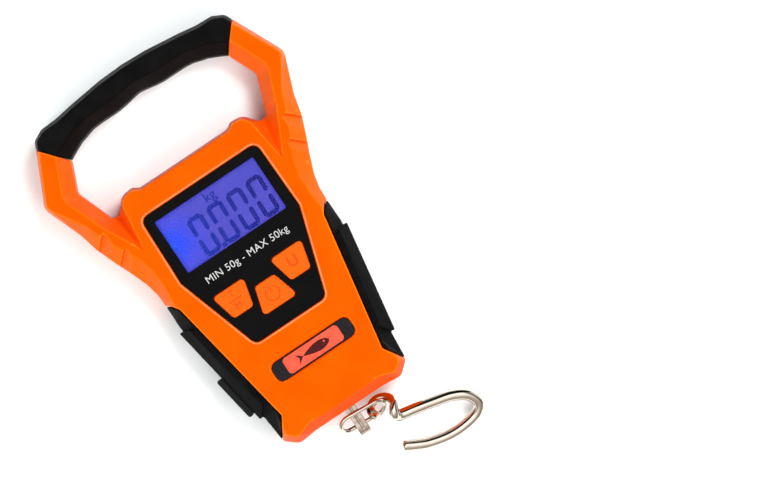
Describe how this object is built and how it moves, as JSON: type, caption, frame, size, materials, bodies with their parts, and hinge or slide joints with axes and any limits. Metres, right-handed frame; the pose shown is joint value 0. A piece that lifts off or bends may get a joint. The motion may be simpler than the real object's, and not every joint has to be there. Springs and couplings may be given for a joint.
{
  "type": "digital fish scale",
  "caption": "Hand-held digital hanging scale with a loop handle, backlit display, press keys, a hook on a swinging link and a pull-out tape.",
  "frame": {"origin": "centre of the back face, on the case's centreline and halfway along the case", "axes": "+X to the right of someone reading the display, +Y towards the handle, +Z out of the display"},
  "size_m": [0.113, 0.1972, 0.0284],
  "materials": {
    "orange_plastic": "fine satin moulded texture",
    "black_rubber": "matt, finely textured",
    "black_gloss": "polished black",
    "dark_plastic": "satin black",
    "clear_plastic": "clear, polished",
    "lcd_blue": "backlit display, polished",
    "white_plastic": "plain moulded",
    "circuit_board": "solder-mask lacquer",
    "bright_steel": "nickel-plated, polished",
    "spring_steel": "plain drawn or rolled",
    "aluminium": "machined",
    "screw_steel": "dark plated",
    "cell_wrap": "printed film",
    "tape_yellow": "painted strip"
  },
  "bodies": {
    "case": {"anchor_bolt": "screw_steel", "battery_door": "orange_plastic", "battery_left": "cell_wrap", "battery_right": "cell_wrap", "bracket_screw_left": "screw_steel", "bracket_screw_right": "screw_steel", "bridge_contact": "spring_steel", "case_screw_arm_left": "screw_steel", "case_screw_arm_right": "screw_steel", "case_screw_lower_left": "screw_steel", "case_screw_lower_right": "screw_steel", "case_screw_upper_left": "screw_steel", "case_screw_upper_right": "screw_steel", "case_seal": "black_rubber", "cell_contact_right": "spring_steel", "cell_spring_left": "spring_steel", "controller_chip": "dark_plastic", "display_panel": "black_gloss", "door_screw": "screw_steel", "door_seal": "black_rubber", "front_shell": "orange_plastic", "grip_front": "black_rubber", "grip_rear": "black_rubber", "hook_strap": "bright_steel", "lcd_cell": "lcd_blue", "lcd_connector": "dark_plastic", "lcd_holder": "white_plastic", "lcd_window": "clear_plastic", "left_pad": "black_rubber", "light_guide": "white_plastic", "load_bracket": "spring_steel", "load_cell": "aluminium", "main_board": "circuit_board", "name_plate": "black_gloss", "power_switch": "dark_plastic", "rear_shell": "orange_plastic", "reel_axle": "spring_steel", "reel_spring": "spring_steel", "right_pad": "black_rubber", "strap_pin": "spring_steel", "strap_seal": "black_rubber", "tare_switch": "dark_plastic", "unit_switch": "dark_plastic"},
    "tare_key": {"tare_button": "orange_plastic", "tare_plunger": "white_plastic"},
    "power_key": {"power_button": "orange_plastic", "power_plunger": "white_plastic"},
    "unit_key": {"unit_button": "orange_plastic", "unit_plunger": "white_plastic"},
    "link": {"hook_link": "bright_steel"},
    "hook_body": {"hook": "bright_steel"},
    "tape": {"tape_tab": "dark_plastic", "tape_blade": "tape_yellow"},
    "reel": {"tape_reel": "white_plastic", "tape_coil": "tape_yellow"}
  },
  "joints": [
    {"name": "tare_press", "type": "slide", "parent": "case", "child": "tare_key", "axis": [0, 0, -1], "range_m": [0, 0.0008], "stiffness_N_per_m": 1500},
    {"name": "power_press", "type": "slide", "parent": "case", "child": "power_key", "axis": [0, 0, -1], "range_m": [0, 0.0008], "stiffness_N_per_m": 1500},
    {"name": "unit_press", "type": "slide", "parent": "case", "child": "unit_key", "axis": [0, 0, -1], "range_m": [0, 0.0008], "stiffness_N_per_m": 1500},
    {"name": "link_swing", "type": "hinge", "parent": "case", "child": "link", "pos_m": [0, -0.08931, 0.01294], "axis": [0, 0, 1], "range_deg": [-28, 8]},
    {"name": "hook_swing", "type": "hinge", "parent": "link", "child": "hook_body", "pos_m": [0.0109, -0.0883, 0.014], "axis": [0.1336, 0.6287, 0.766], "range_deg": [-75, 0]},
    {"name": "tape_pull", "type": "slide", "parent": "case", "child": "tape", "axis": [-0.9861, -0.166, 0], "range_m": [0, 1], "stiffness_N_per_m": 1.5, "springref_m": -0.3, "deforming": ["tape_blade"]},
    {"name": "reel_spin", "type": "hinge", "parent": "case", "child": "reel", "pos_m": [-0.0186, -0.0535, 0.0103], "axis": [-0.166, 0.9861, 0], "range_deg": [-14200, 0]}
  ],
  "couplings": [
    {"joint": "reel_spin", "follows": "tape_pull", "rad_per_m": -247}
  ]
}
